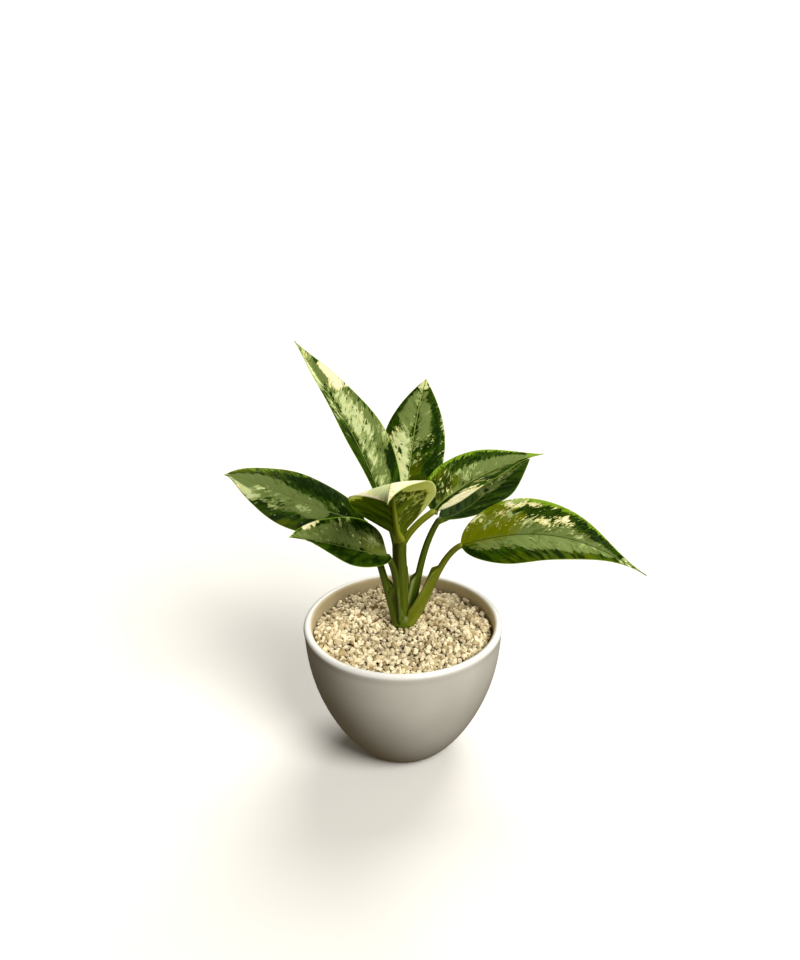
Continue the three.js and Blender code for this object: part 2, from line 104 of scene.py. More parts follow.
# Each leaf as in the part: midrib and stalk as Bezier curves, the way the upper face looks
# (compass angle from +X and height, degrees), full width, how far each half folds up and bends
# back, twist, and outline (fullness of the base, place and slenderness of the taper).
# sheath is the share of the stalk that the sheath runs up, and wrap how far it is turned round the
# foot of the stalk, in degrees. hue is the stalk's colour, from dark green at 0 to yellow-green at
# 1, and pale_wing how pale the sheath's wings are. rib is how pale the midrib is, and tone makes
# the whole blade lighter or deeper: partly its own depth of green, partly painted shade on the
# deeper blades and painted light on the lighter ones.
# marks are the patches of colour: kind, how much of the patch shows, from and to along the blade
# (0 base, 1 tip), from and to across it (-1 left margin, 1 right margin, seen from above with the
# tip forward). Marks for the upper face show there alone; on the front leaf they are partly its pale
# pattern and partly painted light, the whitish glow of strong light through the folded blade.
LEAVES = {
    "leaf_upper_left": dict(
        midrib=[(-10, 6, 189), (-23, 24, 233), (-50, 41, 272), (-77, 61, 309)],
        face=(-43, 43), width=48, fold=(44, 33), camber=16, twist=-11, outline=(0.53, 1.6, 1.3),
        stalk=[(-3, 9, 102), (-1, 10, 129), (-2, 5, 172)], radius=(3.2, 2.4), sheath=0.5,
        hue=0.3, rib=0.9, tone=1.03,
        marks=[
            ("sage", 1.1, 0.34, 0.8, 0.06, 1.3), ("sage", 1.2, -0.1, 0.42, 0.06, 0.58),
            ("sage", 0.95, 0.74, 1, -0.3, 0.6), ("olive", 0.12, 0, 0.34, 0.5, 1.2),
            ("mint", 1.05, 0.38, 0.7, 0.08, 0.66), ("mint", 0.8, 0.28, 0.5, 0.06, 0.4),
            ("mint", 0.9, 0.36, 0.46, 0.8, 1.1), ("mint", 0.9, 0.26, 0.37, 0.06, 0.42),
            ("mint", 0.45, 0.86, 1.1, -1, 1), ("mint", 0.5, 0.1, 0.4, 0, 0.52),
            ("mint", 0.5, 0.5, 0.92, -0.9, -0.1), ("mint", 0.9, 0.72, 0.94, -1.3, -0.35),
            ("cream", 2, 0.69, 0.85, 0.52, 1.5), ("cream", 1.6, 0.69, 0.76, 0.4, 1.4),
            ("cream", 0.2, 0.44, 0.68, 0.25, 0.8), ("cream", 0.4, 0.88, 1.1, -1, 1),
            ("dark", 0.5, 0.42, 0.68, 0.8, 1.2), ("dark", 0.2, 0.35, 0.75, 0.05, 0.7),
            ("lime", 0.15, 0.5, 1, -1.3, -0.8),
        ],
    ),
    "leaf_upper_middle": dict(
        midrib=[(2, 12, 190), (6, 36, 217), (10, 63, 247), (20, 89, 269)],
        face=(-103, 43), width=50, fold=(5, 7), camber=24, twist=0, outline=(0.56, 1.7, 1),
        stalk=[(0, 10, 102), (0, 11, 129), (0, 8, 164)], radius=(3.2, 2.4), sheath=0.5,
        hue=0.3, rib=0.5, tone=1.08,
        marks=[
            ("sage", 1, 0.55, 0.92, -0.72, -0.02), ("sage", 1, 0.5, 0.92, 0.02, 0.58),
            ("sage", 0.85, 0.2, 0.6, -0.75, 0), ("olive", 0.42, 0, 0.45, -0.1, 0.8),
            ("mint", 1.15, 0.14, 0.6, -0.72, -0.03), ("mint", 0.8, 0.9, 1.2, -1.2, 1.2),
            ("mint", 0.6, 0.78, 0.95, -0.4, 0.1), ("mint", 0.5, 0.38, 0.54, 0.08, 0.42),
            ("mint", 0.13, 0.25, 0.9, 0.4, 0.95), ("mint", 0.6, 0.5, 0.86, 0.86, 1.2),
            ("cream", 0.5, 0.5, 0.61, -1, -0.48), ("cream", 0.2, 0.57, 0.68, -0.34, -0.02),
            ("cream", 0.25, 0.42, 0.62, 0.5, 0.9), ("cream", 0.4, 0.39, 0.48, 0.86, 1.2),
            ("cream", 0.6, 0.92, 1.1, -1, 1), ("cream", 0.3, 0.3, 0.56, -0.6, -0.1),
            ("dark", 1.15, 0.3, 0.92, 0.6, 0.9), ("dark", 1.1, 0.26, 0.42, 0.4, 0.95),
            ("dark", 0.5, 0.39, 0.48, -0.52, -0.28), ("dark", 0.95, 0.55, 0.96, -1.3, -0.78),
        ],
    ),
    "leaf_right_upper": dict(
        midrib=[(23, 4, 197), (30, 14, 205), (69, 35, 221), (107, 48, 223)],
        face=(-77, 69), width=48, fold=(24, 47), camber=17, twist=-6, outline=(0.65, 2.1, 1.5),
        stalk=[(1, 8, 102), (-2, 8, 135), (-16, 5, 168)], radius=(3.2, 2.4), sheath=0.5,
        hue=1, rib=0.7, tone=1,
        marks=[
            ("sage", 1.2, 0.4, 1, -0.6, 0.02), ("sage", 1, 0.16, 0.42, -0.2, 0.2),
            ("sage", 0.3, 0.1, 0.45, -0.7, 0), ("olive", 0.4, 0, 0.45, -1, 0.1),
            ("mint", 0.4, 0.42, 0.6, -0.6, -0.1), ("mint", 0.2, 0.6, 0.95, -0.45, -0.05),
            ("sage", 0.7, 0.5, 1.05, 0.1, 0.7), ("cream", 1.02, 0.03, 0.44, 0.42, 1.3),
            ("cream", 0.3, 0.4, 0.54, 0.3, 1.1),
            ("cream", 0.16, 0.12, 0.42, -0.8, -0.05), ("dark", 0.85, 0.44, 0.82, -0.84, -0.52),
            ("mint", 0.1, 0.1, 0.5, -1, 0), ("lime", 0.9, 0.15, 1.1, -1.4, -0.86),
            ("lime", 1.5, 0.9, 1.2, -1.6, 1.6),
        ],
    ),
    "leaf_right_behind": dict(
        midrib=[(28, 20, 183), (54, 37, 179), (68, 62, 191), (101, 78, 206)],
        face=(-137, 52), width=46, fold=(18, 17), camber=12, twist=10, outline=(0.67, 2.1, 1),
        stalk=[(5, 9, 102), (10.5, 9.5, 129), (13, 13, 163)], radius=(3.4, 2.2), sheath=0.4,
        hue=0.15, rib=0.3, tone=0.85, pale_wing=1, wrap=-45,
        marks=[
            ("sage", 0.72, 0.46, 0.9, -0.45, 0.25), ("sage", 0.12, 0.2, 0.6, 0, 0.7),
            ("mint", 0.3, 0.55, 0.8, -0.3, 0.1), ("dark", 0.9, 0.1, 0.32, -0.2, 1.3),
        ],
    ),
    "leaf_right_low": dict(
        midrib=[(43, -5, 174), (98, -8, 192), (125, -30, 195), (174, -28, 160)],
        face=(-91, 60), width=56, fold=(23, 19), camber=17, twist=1, outline=(0.5, 1.6, 1.8),
        stalk=[(4, 2, 103), (19, 3, 119), (25, 3, 160)], radius=(3.6, 2.1), sheath=0.6,
        hue=0.85, rib=0.05, tone=1.08, wrap=-85,
        marks=[
            ("sage", 1, 0.2, 0.88, -0.42, 0.62), ("sage", 0.9, 0.04, 0.3, -0.1, 0.5),
            ("olive", 1.6, -0.2, 0.3, -1.3, 0.1), ("olive", 0.3, -0.2, 0.2, 0, 0.6),
            ("olive", 0.2, 0.3, 1, -0.6, 0.6), ("olive", 0.32, 0.1, 0.9, 0.55, 1.3),
            ("mint", 0.45, 0.23, 0.52, -0.52, -0.18), ("mint", 1, 0.585, 0.635, -0.24, -0.08),
            ("mint", 0.65, 0.6, 0.73, -0.06, 0.3), ("mint", 0.75, 0.86, 1.2, -1.2, 1.2),
            ("mint", 0.1, 0.3, 0.85, -0.35, 0.45), ("mint", 0.3, 0.06, 0.3, -0.85, -0.25),
            ("sage", 0.4, 0.02, 0.3, -0.9, -0.3), ("cream", 1, 0.21, 0.33, -1.3, -0.76),
            ("cream", 0.3, 0.14, 0.25, -0.74, -0.56), ("cream", 0.6, 0.32, 0.4, -1, -0.72),
            ("cream", 0.95, 0.37, 0.45, -0.46, -0.28), ("cream", 0.9, 0.47, 0.57, -0.72, -0.44),
            ("cream", 0.3, 0.24, 0.56, -0.6, -0.2), ("cream", 0.55, 0.02, 0.13, -1.2, -0.66),
            ("cream", 0.4, 0.4, 0.8, -1.2, -0.86), ("dark", 0.75, 0.25, 0.5, -0.8, -0.5),
            ("dark", 0.96, 0.54, 0.78, -1, -0.48), ("lime", 0.9, 0.05, 0.95, -1.3, -0.86),
        ],
    ),
    "leaf_left_upper": dict(
        midrib=[(-27, -4, 193), (-70, -9, 208), (-111, 3, 227), (-124, -10, 234)],
        face=(-108, 63), width=48, fold=(9, 8), camber=24, twist=8, outline=(0.45, 1.8, 1.3),
        stalk=[(-4.2, 2.6, 102.4), (-10, 4, 128), (-19, 1, 172)], radius=(3.6, 2.2), sheath=0.36,
        hue=0.25, rib=0.35, tone=0.72, wrap=105,
        marks=[
            ("sage", 1.3, 0.38, 0.98, -0.58, 0.52), ("sage", 1.1, 0.2, 0.46, -0.5, 0.28),
            ("sage", 0.12, 0, 0.4, 0, 0.9), ("olive", 0.35, 0.35, 1.1, 0.55, 1.3),
            ("olive", 0.35, 0.28, 0.5, -1.2, -0.66), ("mint", 0.6, 0.48, 0.76, -0.68, -0.36),
            ("mint", 0.65, 0.56, 0.69, -0.26, 0.06), ("mint", 0.8, 0.28, 0.37, -0.3, -0.14),
            ("mint", 0.35, 0.44, 0.62, -0.55, -0.1),
            ("mint", 1.5, 0.66, 0.94, -0.95, -0.46), ("cream", 0.6, 0.76, 0.92, -1.1, -0.66),
            ("cream", 0.8, 0.7, 0.77, -0.78, -0.56), ("cream", 0.2, 0.45, 0.62, -0.84, -0.52),
            ("cream", 0.2, 0.31, 0.42, -1.1, -0.72), ("cream", 0.7, 0.94, 1.2, -1, 1),
            ("mint", 0.1, 0, 0.5, 0.15, 1), ("dark", 0.35, 0.42, 0.62, -0.6, -0.1),
            ("dark", 1.1, 0.1, 0.5, 0.3, 0.95), ("lime", 0.55, 0.38, 1.1, 0.76, 1.4),
        ],
    ),
    "leaf_left_low": dict(
        midrib=[(-11, -13, 170), (-28, -29, 181), (-61, -32, 195), (-76, -54, 207)],
        face=(-126, 45), width=44, fold=(33, 39), camber=-1, twist=-3, outline=(0.52, 1.9, 1.2),
        stalk=[(-3, 4, 102), (-2, 2, 129), (-5, -5, 158)], radius=(3.2, 2.2), sheath=0.4,
        hue=0.2, rib=0.35, tone=1.1,
        marks=[
            ("sage", 1, 0.5, 0.97, -0.05, 0.8), ("sage", 0.95, 0.15, 0.6, 0.02, 0.75),
            ("sage", 0.9, 0, 0.26, -0.1, 1), ("olive", 0.5, -0.1, 0.35, -0.05, 0.8),
            ("olive", 0.2, 0.5, 0.9, 0, 0.8), ("mint", 0.5, 0.46, 0.6, 0.7, 1.05),
            ("mint", 0.16, 0.6, 0.9, 0.05, 0.6), ("mint", 0.5, 0.12, 0.3, 0.2, 0.7),
            ("cream", 1.3, 0.74, 0.85, 0.74, 1.4), ("cream", 0.15, 0.25, 0.6, 0.2, 0.7),
            ("cream", 0.6, 0.95, 1.2, -1, 1), ("dark", 0.95, 0.26, 0.5, 0.68, 1.2),
            ("dark", 0.15, 0.2, 0.6, 0.1, 0.75),
        ],
    ),
    "leaf_front": dict(
        midrib=[(-2, -13, 185), (-7, -57, 216), (-5, -60, 274), (-9, -110, 257)],
        face=(99, 24), width=60, fold=(42, 54), camber=21, twist=-2, outline=(0.5, 1.6, 1),
        fold_at_tip=-0.32,
        stalk=[(1, 7, 102), (-1, 3, 129), (-1, -3, 160)], radius=(4.8, 2.6), sheath=0.85,
        hue=0.35, rib=0.6, tone=1,
        marks=[
            ("olive", 0.45, -0.2, 1, -1.2, 0.06), ("cream", 1.8, 0.49, 0.8, -1.5, -0.16),
            ("cream", 1.7, 0.12, 0.55, -1.5, -0.82), ("cream", 0.35, 0.38, 0.5, -0.6, -0.1),
            ("cream", 0.5, 0.26, 0.48, -0.74, -0.4), ("cream", 0.26, 0.14, 0.38, -0.6, -0.08),
            ("cream", 1.2, 0.44, 0.8, 0.62, 1.4), ("mint", 0.2, 0.2, 0.8, -0.7, -0.05),
            ("olive", 0.4, -0.2, 1, 0, 1.3),
        ],
        # Over the upper face, a pale wash of sage, mint and cream: partly the leaf's own pale pattern, partly
        # painted light, the whitish glow of strong light through the folded blade
        upper_marks_and_painted_light=[
            ("mint", 2.2, 0.4, 1.4, -1.4, 1.4), ("cream", 1, 0.5, 1.2, -0.9, 0.1),
            ("sage", 1, 0, 1.4, -1.4, 1.4), ("cream", 1, 0.3, 1.2, 0.8, 1.4),
        ],
    ),
}

# The kinds of mark, in the order they lie over each other: size across and along the side veins
# of their broad tongues and of their fine feathering, in mm
MARK_GRAIN = {
    "sage": ((7.0, 10), (2.1, 2.7)),
    "mint": ((4.4, 6.4), (1.5, 2.2)),
    "cream": ((4.0, 5.6), (1.3, 1.8)),
    "dark": ((4.0, 5.4), (1.3, 1.8)),
    "lime": ((3.0, 4.5), (1.0, 1.4)),
}
MARK_EDGE = 6  # width in mm of the band in which a patch frays out
NOISE_LOW = 0.36  # the noise of the marks seldom leaves the range from this to NOISE_HIGH
NOISE_HIGH = 0.64
CLEAN = 0.03  # a field below this share shows nothing
RIB_LINE = 0.45  # half width in mm of the midrib's line on the upper face

# What every mix of two colours has in common: its type, and its third output
COLOUR_MIX = {"data_type": "RGBA", "out": 2}

# Studio: lights (strength, degrees over which they spread, the way they shine) and the world's two shades
LIGHTS = (
    ("key_light", 3.45, 30, (-0.43, 0.567, -0.702)),
    ("back_light", 2.6, 40, (-0.25, -0.6, -0.76)),
)
LIGHT_COLOUR = (1.0, 0.98, 0.93)
WORLD_BELOW = "#483c26"
WORLD_ABOVE = "#76746d"
FLOOR_HALF = 200.0  # half the floor's side in metres, so that it reaches the horizon

# Camera: place in metres, degrees it looks down and rolls, focal length and picture height in pixels
CAMERA_PLACE = (-0.00105, -0.7148, 0.5446)
CAMERA_DOWN = 24.15
CAMERA_ROLL = -0.6
FOCAL_PIXELS = 1100
PICTURE_PIXELS = 960
SENSOR = 36


# Meshes

def grid_faces(rows, columns, start=0, flip=False, closed=False):
    """Quads of a grid of points numbered row by row from start.

    closed joins its last column to its first.
    """
    last = columns if closed else columns - 1
    row, column = np.meshgrid(np.arange(rows - 1), np.arange(last), indexing="ij")
    beside = (column + 1) % columns
    a = start + row * columns + column
    b = start + row * columns + beside
    quads = np.stack([a, b, b + columns, a + columns], -1).reshape(-1, 4)
    return quads[:, ::-1] if flip else quads


def make_piece(name, points, faces, material, node=None, smooth=True, fields=None):
    """A mesh object from points in millimetres, riding on the part's one body."""
    mesh = bpy.data.meshes.new(name)
    mesh.from_pydata((np.asarray(points) * MM).tolist(), [], [list(face) for face in faces])
    mesh.polygons.foreach_set("use_smooth", np.full(len(mesh.polygons), smooth))
    for field, values in (fields or {}).items():
        attribute = mesh.attributes.new(field, "FLOAT", "POINT")
        attribute.data.foreach_set("value", np.asarray(values, np.float32).ravel())
    mesh.materials.append(material)
    mesh.update()
    made = bpy.data.objects.new(name, mesh)
    bpy.context.scene.collection.objects.link(made)
    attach(made, "root")
    if node:
        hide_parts(node)
    return made


# Materials

def linear(hex_colour):
    """A #rrggbb colour of the sRGB screen as linear light."""
    parts = [int(hex_colour[i:i + 2], 16) / 255 for i in (1, 3, 5)]
    return [c / 12.92 if c <= 0.04045 else ((c + 0.055) / 1.055) ** 2.4 for c in parts] + [1.0]


def add(tree, kind, inputs=None, out=0, **settings):
    """Adds one node, sets it, fills or links its inputs, and gives back one of its outputs."""
    made = tree.nodes.new("ShaderNode" + kind)
    for key, value in settings.items():
        setattr(made, key, value)
    for key, value in (inputs or {}).items():
        if isinstance(value, bpy.types.NodeSocket):
            tree.links.new(value, made.inputs[key])
        else:
            made.inputs[key].default_value = value
    return made.outputs[out]


def start_material(name):
    """An empty material with its node tree and its output node."""
    material = bpy.data.materials.new(name)
    material.use_nodes = True
    tree = material.node_tree
    tree.nodes.clear()
    return material, tree, tree.nodes.new("ShaderNodeOutputMaterial")


def leaf_material():
    """Living leaf blade: a satin cuticle over dark green tissue, marbled where cells lack chlorophyll.

    The mesh carries one field for each kind of mark, from 0 outside its patches to the share of
    the patch that shows. A point is marked where the field is above noise that is stretched along
    the side veins, so a full patch has a ragged edge and a half patch breaks up into specks.
    """
    material, tree, output = start_material("leaf_blade_variegated_cuticle")
    names = ("across", "vein", "edge", "under", "seed", "rib", "rib_tone", "tone", "olive")
    field = {
        name: add(tree, "Attribute", out=2, attribute_name=name) for name in names + tuple(MARK_GRAIN)
    }

    def veined_noise(size, layer, detail=2.0):
        """Noise whose grains have a size across and along the side veins."""
        x = add(tree, "Math", {0: field["vein"], 1: 1 / size[0]}, operation="MULTIPLY")
        y = add(tree, "Math", {0: field["across"], 1: 1 / size[1]}, operation="MULTIPLY")
        z = add(tree, "Math", {0: field["seed"], 1: 7.3 * layer}, operation="ADD")
        place = add(tree, "CombineXYZ", {0: x, 1: y, 2: z})
        return add(tree, "TexNoise", {"Vector": place, "Scale": 1.0, "Detail": detail, "Roughness": 0.55})

    # How deep each point lies inside its kind of mark: the field less noise spread over 0 to 1,
    # cut off just above 0 so that tissue where nothing is marked stays clean
    inside = {}
    for layer, (kind, (broad, fine)) in enumerate(MARK_GRAIN.items()):
        tongue = add(tree, "Math", {0: veined_noise(broad, layer), 1: 0.6}, operation="MULTIPLY")
        feather = veined_noise(fine, layer + 9)
        both = add(tree, "Math", {0: feather, 1: 0.4, 2: tongue}, operation="MULTIPLY_ADD")
        spread = add(tree, "MapRange", {
            "Value": both, "From Min": NOISE_LOW, "From Max": NOISE_HIGH, "To Min": CLEAN,
        })
        inside[kind] = add(tree, "Math", {0: field[kind], 1: spread}, operation="SUBTRACT")

    # Dark green tissue in two close shades, yellower where the leaf is olive
    cloud = veined_noise((7, 16), 20)
    shade = add(tree, "MapRange", {"Value": cloud, "From Min": 0.42, "From Max": 0.58})
    colour = add(tree, "Mix", {0: shade, 6: linear("#102200"), 7: linear("#2b4402")}, **COLOUR_MIX)
    olive = add(tree, "Math", {0: cloud, 1: 0.8, 2: field["olive"]}, operation="MULTIPLY_ADD")
    olive = add(tree, "MapRange", {"Value": olive, "From Min": 0.65, "From Max": 1.1})
    colour = add(tree, "Mix", {0: olive, 6: colour, 7: linear("#5f6803")}, **COLOUR_MIX)

    # Each kind of mark in its edge shade, then its core in a paler one
    for kind, edge_shade, core_shade in (
        ("sage", "#59672f", "#68783f"),
        ("mint", "#94a264", "#c6d297"),
        ("cream", "#dcd88f", "#f6f1bd"),
        ("dark", "#2a4009", "#122601"),
    ):
        shows = add(tree, "MapRange", {"Value": inside[kind], "From Min": -0.035, "From Max": 0.035})
        core = add(tree, "MapRange", {"Value": inside[kind], "From Min": 0.3, "From Max": 0.36})
        tint = add(tree, "Mix", {0: core, 6: linear(edge_shade), 7: linear(core_shade)}, **COLOUR_MIX)
        if kind == "sage":
            yellow = add(tree, "Math", {0: olive, 1: 0.7}, operation="MULTIPLY")
            tint = add(tree, "Mix", {0: yellow, 6: tint, 7: linear("#6c7418")}, **COLOUR_MIX)
        colour = add(tree, "Mix", {0: shows, 6: colour, 7: tint}, **COLOUR_MIX)

    # A lime margin: broad where marked, and a thin line all round
    broad_rim = add(tree, "MapRange", {
        "Value": inside["lime"], "From Min": -0.05, "From Max": 0.05, "To Max": 0.85,
    })
    colour = add(tree, "Mix", {0: broad_rim, 6: colour, 7: linear("#759620")}, **COLOUR_MIX)
    thin_rim = add(tree, "MapRange", {
        "Value": field["edge"], "From Min": 0.7, "From Max": 0.35, "To Max": 0.5,
    })
    colour = add(tree, "Mix", {0: thin_rim, 6: colour, 7: linear("#7e9c2a")}, **COLOUR_MIX)

    # The midrib: a fine line on the upper face, a broad yellow-olive keel on the under face
    rib_colour = add(tree, "Mix", {0: field["rib_tone"], 6: linear("#2c400a"), 7: linear("#a3b25a")},
                     **COLOUR_MIX)
    rib_colour = add(tree, "Mix", {0: field["under"], 6: rib_colour, 7: linear("#91971c")}, **COLOUR_MIX)
    rib = add(tree, "MapRange", {"Value": field["rib"], "From Min": 1.15, "From Max": 0.8, "To Max": 0.85})
    colour = add(tree, "Mix", {0: rib, 6: colour, 7: rib_colour}, **COLOUR_MIX)

    # Light from above glows through the thin blade, so the under face looks brighter and yellower
    glow = add(tree, "Gamma", {"Color": colour, "Gamma": 0.68})
    glow = add(tree, "Mix", {0: 1.0, 6: glow, 7: linear("#f4ffd8")}, **COLOUR_MIX, blend_type="MULTIPLY")
    colour = add(tree, "Mix", {0: field["under"], 6: colour, 7: glow}, **COLOUR_MIX)

    # Tissue without green lets more light through
    pale = add(tree, "Math", {0: inside["cream"], 1: inside["mint"]}, operation="MAXIMUM")
    thin = add(tree, "MapRange", {
        "Value": pale, "From Min": -0.1, "From Max": 0.1, "To Min": 0.12, "To Max": 0.5,
    })
    thin = add(tree, "Math", {0: field["under"], 1: 0.35, 2: thin}, operation="MULTIPLY_ADD", use_clamp=True)

    # Each leaf has its own depth of tone: partly its own green, partly painted shade on the deeper blades and
    # painted light on the lighter ones
    colour = add(tree, "VectorMath", {0: colour, "Scale": field["tone"]}, operation="SCALE")

    # The finer side veins, three to each one of the mesh, as shallow furrows, and the cuticle's
    # pebbling, drawn 0.9 mm across to show
    vein = add(tree, "Math", {0: field["vein"], 1: 2 * math.pi / (VEIN_STEP / 3)}, operation="MULTIPLY")
    furrow = add(tree, "Math", {0: vein}, operation="COSINE")
    coords = add(tree, "TexCoord", out=3)
    pebble = add(tree, "TexNoise", {"Vector": coords, "Scale": 1 / (0.9 * MM), "Detail": 2.0})
    height = add(tree, "Math", {0: furrow, 1: 0.12, 2: pebble}, operation="MULTIPLY_ADD")
    bump = add(tree, "Bump", {"Height": height, "Strength": 0.3, "Distance": 0.2 * MM})
    gloss = add(tree, "MapRange", {"Value": cloud, "To Min": 0.4, "To Max": 0.52})
    shader = add(tree, "BsdfPrincipled", {
        "Base Color": colour, "Roughness": gloss, "Normal": bump, "IOR": 1.45,
        "Specular IOR Level": 0.02, "Subsurface Weight": thin,
        "Subsurface Radius": (2.2 * MM, 2.6 * MM, 1.2 * MM), "Subsurface Scale": 1.0,
    })
    tree.links.new(shader, output.inputs["Surface"])
    return material


def stalk_material():
    """Leaf stalk and sheath: smooth green rind with faint ribs along it, paler on the wings.

    The ribs are 1.1 mm apart round the stalk and 26 mm long.
    """
    material, tree, output = start_material("leaf_stalk_green_rind")
    hue = add(tree, "Attribute", out=2, attribute_name="hue")
    along = add(tree, "Attribute", out=2, attribute_name="along")
    round_it = add(tree, "Attribute", out=2, attribute_name="round")
    wing = add(tree, "Attribute", out=2, attribute_name="wing")
    x = add(tree, "Math", {0: along, 1: 1 / 26}, operation="MULTIPLY")
    y = add(tree, "Math", {0: round_it, 1: 1 / 1.1}, operation="MULTIPLY")
    place = add(tree, "CombineXYZ", {0: x, 1: y})
    ribs = add(tree, "TexNoise", {"Vector": place, "Scale": 1.0, "Detail": 3.0, "Roughness": 0.6})
    green = add(tree, "Mix", {0: hue, 6: linear("#304806"), 7: linear("#6c750a")}, **COLOUR_MIX)
    shade = add(tree, "MapRange", {"Value": ribs, "From Min": 0.3, "From Max": 0.7, "To Max": 0.8})
    pale = add(tree, "Mix", {0: hue, 6: linear("#42560f"), 7: linear("#8b9129")}, **COLOUR_MIX)
    colour = add(tree, "Mix", {0: shade, 6: green, 7: pale}, **COLOUR_MIX)
    edge = add(tree, "MapRange", {"Value": wing, "From Min": 0.15, "From Max": 0.9, "To Max": 0.9})
    colour = add(tree, "Mix", {0: edge, 6: colour, 7: linear("#8f9a55")}, **COLOUR_MIX)
    bump = add(tree, "Bump", {"Height": ribs, "Strength": 0.5, "Distance": 0.25 * MM})
    shader = add(tree, "BsdfPrincipled", {
        "Base Color": colour, "Roughness": 0.42, "Normal": bump, "IOR": 1.45,
        "Specular IOR Level": 0.2, "Subsurface Weight": 0.06,
        "Subsurface Radius": (0.8 * MM, 1.2 * MM, 0.3 * MM), "Subsurface Scale": 1.0,
    })
    tree.links.new(shader, output.inputs["Surface"])
    return material


def glaze_material():
    """Glazed stoneware: a satin warm-white glaze with a faint orange peel, bare clay at the foot."""
    material, tree, output = start_material("stoneware_satin_white_glaze")
    coords = add(tree, "TexCoord", out=3)
    # Soft clouds 45 mm across, orange peel of 2.4 mm and iron specks of 0.5 mm
    cloud = add(tree, "TexNoise", {"Vector": coords, "Scale": 1 / (45 * MM), "Detail": 3.0})
    peel = add(tree, "TexNoise", {"Vector": coords, "Scale": 1 / (2.4 * MM), "Detail": 2.0})
    grain = add(tree, "TexNoise", {"Vector": coords, "Scale": 1 / (0.5 * MM), "Detail": 1.0})
    tone = add(tree, "MapRange", {"Value": cloud, "From Min": 0.35, "From Max": 0.65})
    colour = add(tree, "Mix", {0: tone, 6: linear("#d6d3c7"), 7: linear("#dfdcd1")}, **COLOUR_MIX)
    spot = add(tree, "Math", {0: grain, 1: 0.735}, operation="GREATER_THAN")
    spot = add(tree, "Math", {0: spot, 1: 0.35}, operation="MULTIPLY")
    colour = add(tree, "Mix", {0: spot, 6: colour, 7: linear("#8d8577")}, **COLOUR_MIX)
    height = add(tree, "SeparateXYZ", {0: coords}, out=2)
    ragged = add(tree, "Math", {0: peel, 1: 1.2 * MM, 2: height}, operation="MULTIPLY_ADD")
    bare = add(tree, "MapRange", {"Value": ragged, "From Min": 2.4 * MM, "From Max": 1.9 * MM})
    colour = add(tree, "Mix", {0: bare, 6: colour, 7: linear("#b9a98d")}, **COLOUR_MIX)
    # Painted highlight: the top of the lip is painted whiter, standing in for the light that falls on it from
    # above
    lip = add(tree, "MapRange", {
        "Value": height, "From Min": (POT_HEIGHT - 4) * MM, "From Max": (POT_HEIGHT - 2) * MM, "To Max": 0.75,
    })
    colour = add(tree, "Mix", {0: lip, 6: colour, 7: linear("#efeeea")}, **COLOUR_MIX)
    # Fine dust off the chips clings to the inside of the wall; the band is also painted shade and painted
    # warm light thrown back by the chips, darker and warmer than the glaze above
    inner = RIM_RADIUS - WALL
    flat = add(tree, "VectorMath", {0: coords, 1: (1, 1, 0)}, operation="MULTIPLY")
    radius = add(tree, "VectorMath", {0: flat}, out=1, operation="LENGTH")
    inside = add(tree, "MapRange", {
        "Value": radius, "From Min": (inner + 2.2) * MM, "From Max": (inner + 0.7) * MM,
    })
    high = add(tree, "MapRange", {"Value": height, "From Min": 82 * MM, "From Max": 90 * MM})
    dust_and_shade = add(tree, "Math", {0: inside, 1: high}, operation="MULTIPLY")
    colour = add(tree, "Mix", {0: dust_and_shade, 6: colour, 7: linear("#cdbd96")}, **COLOUR_MIX)
    rough = add(tree, "MapRange", {
        "Value": cloud, "From Min": 0.3, "From Max": 0.7, "To Min": 0.32, "To Max": 0.4,
    })
    rough = add(tree, "Math", {0: bare, 1: 0.45, 2: rough}, operation="MULTIPLY_ADD")
    rough = add(tree, "Math", {0: dust_and_shade, 1: 0.3, 2: rough}, operation="MULTIPLY_ADD")
    bump = add(tree, "Bump", {"Height": peel, "Strength": 0.12, "Distance": 0.12 * MM})
    shader = add(tree, "BsdfPrincipled", {
        "Base Color": colour, "Roughness": rough, "Normal": bump, "IOR": 1.5,
    })
    tree.links.new(shader, output.inputs["Surface"])
    return material


def chip_material():
    """Crushed pumice: dry, porous, cream to beige, each chip its own tone, darker down in the gaps with
    painted shade.

    Its pores are 0.7 mm across.
    """
    material, tree, output = start_material("pumice_chips_cream")
    shade = add(tree, "Attribute", out=2, attribute_name="shade")
    depth = add(tree, "Attribute", out=2, attribute_name="depth")
    coords = add(tree, "TexCoord", out=3)
    pores = add(tree, "TexNoise", {
        "Vector": coords, "Scale": 1 / (0.7 * MM), "Detail": 3.0, "Roughness": 0.7,
    })
    low = add(tree, "Mix", {0: shade, 6: linear("#957c45"), 7: linear("#fdf1ce")}, **COLOUR_MIX)
    grey = add(tree, "MapRange", {"Value": pores, "From Min": 0.46, "From Max": 0.3, "To Max": 0.6})
    colour = add(tree, "Mix", {0: grey, 6: low, 7: linear("#927638")}, **COLOUR_MIX)
    # Painted shade: a chip turns towards dark brown the deeper it lies under the mound's top, down in the
    # gaps
    gap_shade = add(tree, "MapRange", {"Value": depth, "From Min": 0.6, "From Max": 3.8, "To Max": 0.95})
    colour = add(tree, "Mix", {0: gap_shade, 6: colour, 7: linear("#432e08")}, **COLOUR_MIX)
    bump = add(tree, "Bump", {"Height": pores, "Strength": 0.6, "Distance": 0.25 * MM})
    shader = add(tree, "BsdfPrincipled", {
        "Base Color": colour, "Roughness": 0.9, "Normal": bump, "IOR": 1.5, "Specular IOR Level": 0.3,
    })
    tree.links.new(shader, output.inputs["Surface"])
    return material


